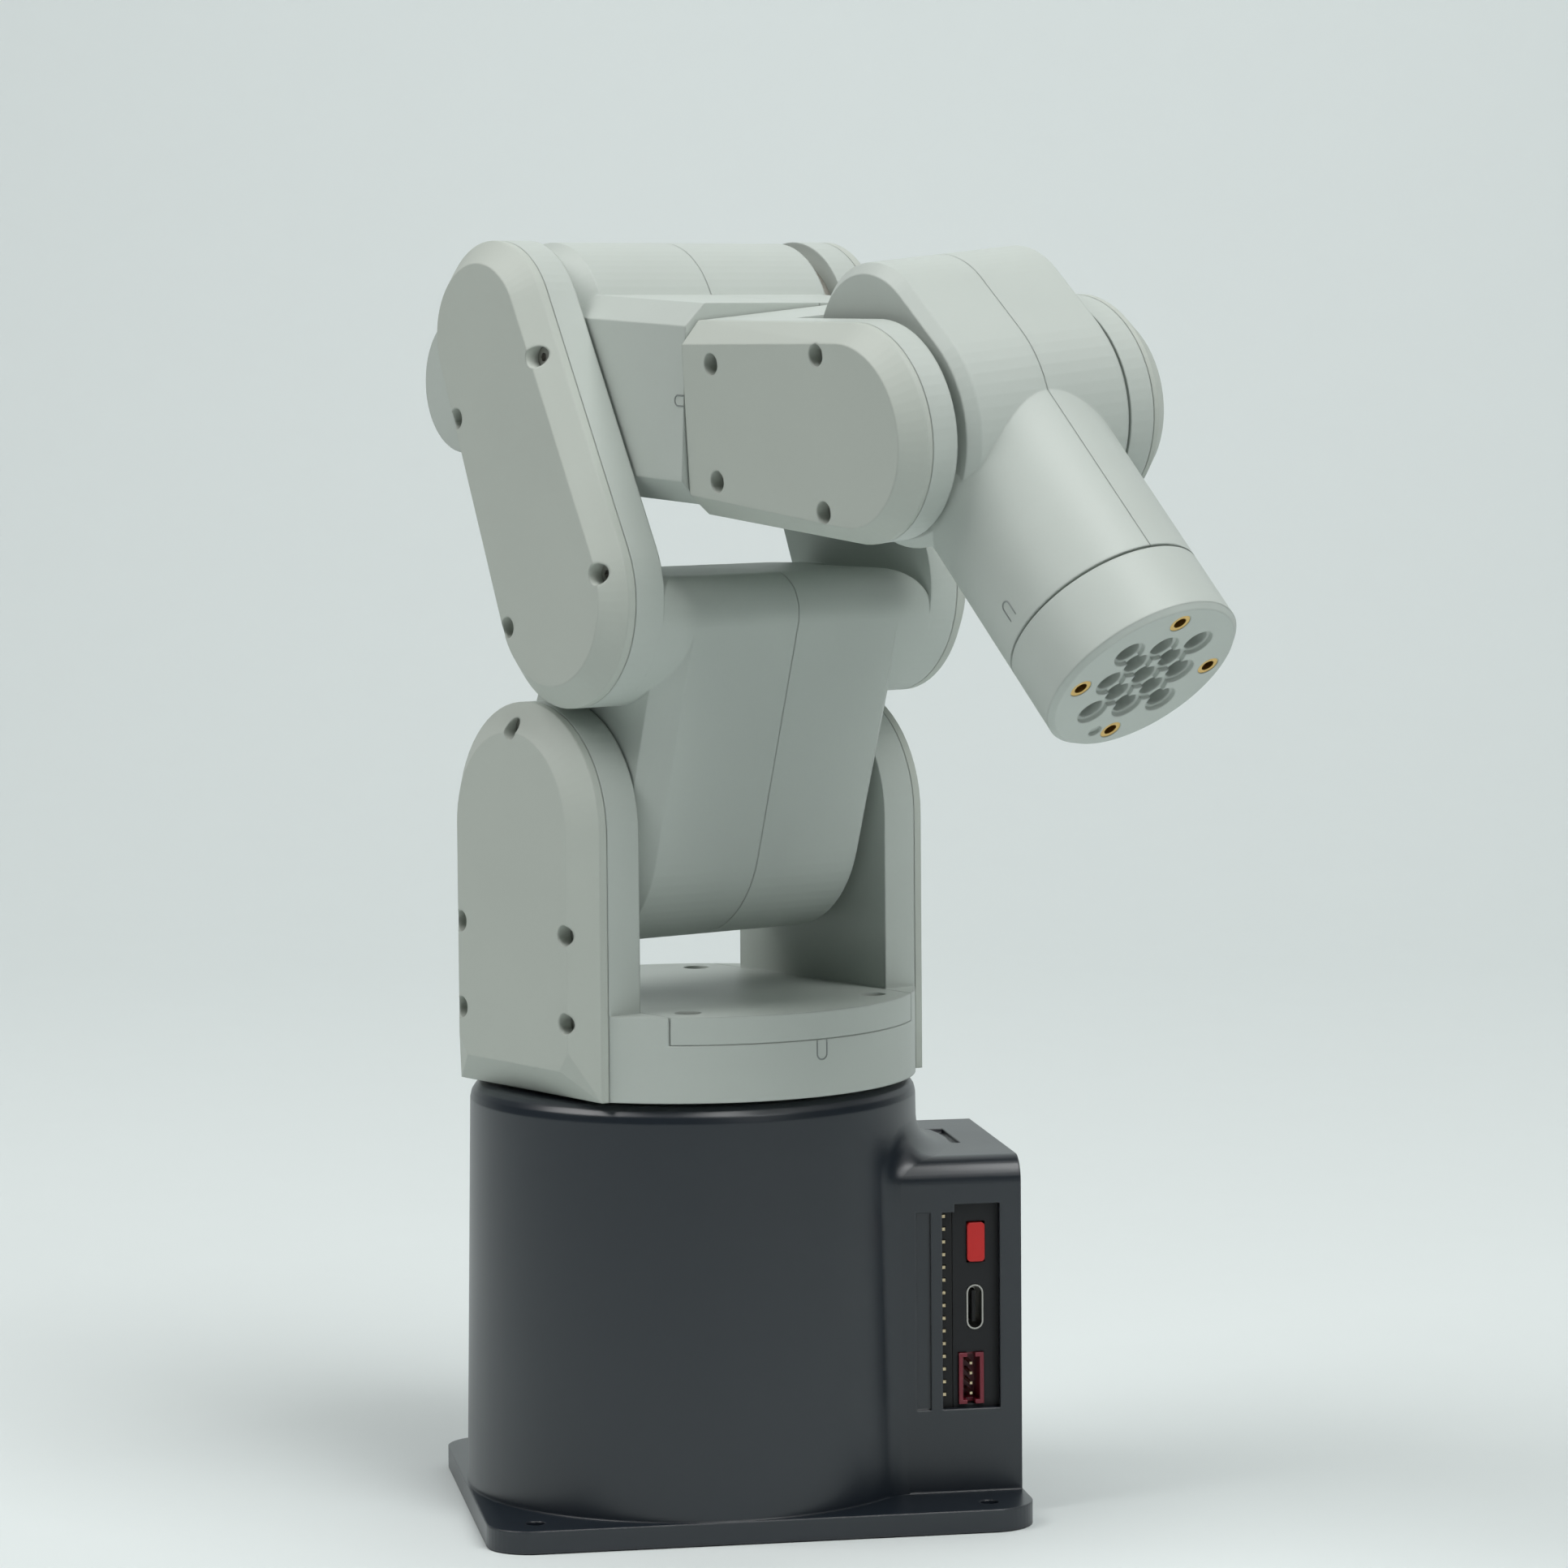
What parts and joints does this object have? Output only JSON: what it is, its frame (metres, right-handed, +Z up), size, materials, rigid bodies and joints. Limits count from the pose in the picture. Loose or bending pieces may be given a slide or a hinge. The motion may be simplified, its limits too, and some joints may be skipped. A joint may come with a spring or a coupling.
{
  "type": "collaborative robot arm",
  "caption": "Desktop robot arm: dark base with a connector box, rotating turret, forked upper arm, rolling forearm, pitching wrist and a round tool face with a hole grid.",
  "frame": {"origin": "on the first joint axis at the underside of the foot plate", "axes": "+Z up along the first joint axis, +X towards the connector box, -Y towards the port window side"},
  "size_m": [0.1336, 0.1884, 0.2519],
  "materials": {
    "base_plastic": "satin, finely textured",
    "arm_plastic": "matte, finely textured",
    "cover_plastic": "matte, finely textured",
    "dark_plastic": "matte",
    "display": "gloss",
    "button_black": "satin",
    "button_red": "satin",
    "port_black": "matte",
    "socket_red": "gloss",
    "servo": "matte",
    "steel": "brushed",
    "port_steel": "satin",
    "horn_metal": "bead blasted",
    "contact_gold": "bright",
    "insert_brass": "knurled, bright bore"
  },
  "bodies": {
    "base": {"base_shell": "base_plastic", "base_floor": "base_plastic", "floor_screws": "steel", "controller_case": "dark_plastic", "display_panel": "display", "usb_shell": "port_steel", "usb_tongue": "port_black", "signal_socket": "socket_red", "signal_pins": "contact_gold", "bus_header": "port_black", "bus_pins": "contact_gold", "j1_servo": "servo"},
    "power_key": {"power_button": "button_red"},
    "key_left": {"front_button_left": "button_black"},
    "key_middle": {"front_button_middle": "button_black"},
    "key_right": {"front_button_right": "button_black"},
    "turret": {"j1_horn": "horn_metal", "turret_frame": "arm_plastic", "turret_deck": "arm_plastic", "deck_screws": "steel", "ear_cover_right": "cover_plastic", "ear_cover_left": "cover_plastic", "ear_cover_screws": "steel", "j2_horn": "horn_metal", "j2_idler": "steel"},
    "upper_arm": {"arm_shell_right": "arm_plastic", "arm_shell_left": "arm_plastic", "arm_cover_right": "cover_plastic", "arm_cover_left": "cover_plastic", "arm_cover_screws": "steel", "j2_servo": "servo", "j2_bearing": "steel", "j3_horn": "horn_metal", "j3_idler": "steel"},
    "elbow": {"elbow_shell_right": "arm_plastic", "elbow_shell_left": "arm_plastic", "j3_servo": "servo", "j3_bearing": "steel", "j4_servo": "servo"},
    "fork": {"j4_horn": "horn_metal", "fork_frame": "arm_plastic", "fork_cover_right": "cover_plastic", "fork_cover_left": "cover_plastic", "fork_cover_screws": "steel", "j5_horn": "horn_metal", "j5_idler": "steel"},
    "wrist": {"wrist_shell_right": "arm_plastic", "wrist_shell_left": "arm_plastic", "j5_servo": "servo", "j5_bearing": "steel", "j6_servo": "servo"},
    "tool": {"j6_horn": "horn_metal", "tool_flange": "arm_plastic", "tool_inserts": "insert_brass"}
  },
  "joints": [
    {"name": "j1_base_yaw", "type": "hinge", "parent": "base", "child": "turret", "pos_m": [0, 0, 0.0858], "axis": [0, 0, 1], "range_deg": [-282, 47]},
    {"name": "j2_shoulder", "type": "hinge", "parent": "turret", "child": "upper_arm", "pos_m": [0, 0, 0.1374], "axis": [0.8878, 0.4602, 0], "range_deg": [-85, 60]},
    {"name": "j3_elbow", "type": "hinge", "parent": "upper_arm", "child": "elbow", "pos_m": [-0.00363, 0.007, 0.23342], "axis": [0.8878, 0.4602, 0], "range_deg": [-165, 7]},
    {"name": "j4_forearm_roll", "type": "hinge", "parent": "elbow", "child": "fork", "pos_m": [0.01985, -0.03829, 0.22035], "axis": [0.4596, -0.8867, -0.0506], "range_deg": [-170, 159]},
    {"name": "j5_wrist_pitch", "type": "hinge", "parent": "fork", "child": "wrist", "pos_m": [0.04253, -0.08204, 0.21786], "axis": [0.8861, 0.4539, 0.094], "range_deg": [-140, 55]},
    {"name": "j6_tool_roll", "type": "hinge", "parent": "wrist", "child": "tool", "pos_m": [0.06079, -0.11027, 0.182], "axis": [0.3716, -0.5743, -0.7295], "range_deg": [-175, 175]},
    {"name": "power_press", "type": "slide", "parent": "base", "child": "power_key", "axis": [0, 1, 0], "range_m": [0, 0.0006], "stiffness_N_per_m": 400, "springref_m": -0.0005},
    {"name": "key_left_press", "type": "slide", "parent": "base", "child": "key_left", "axis": [-1, 0, 0], "range_m": [0, 0.0005], "stiffness_N_per_m": 400, "springref_m": -0.0005},
    {"name": "key_middle_press", "type": "slide", "parent": "base", "child": "key_middle", "axis": [-1, 0, 0], "range_m": [0, 0.0005], "stiffness_N_per_m": 400, "springref_m": -0.0005},
    {"name": "key_right_press", "type": "slide", "parent": "base", "child": "key_right", "axis": [-1, 0, 0], "range_m": [0, 0.0005], "stiffness_N_per_m": 400, "springref_m": -0.0005}
  ]
}
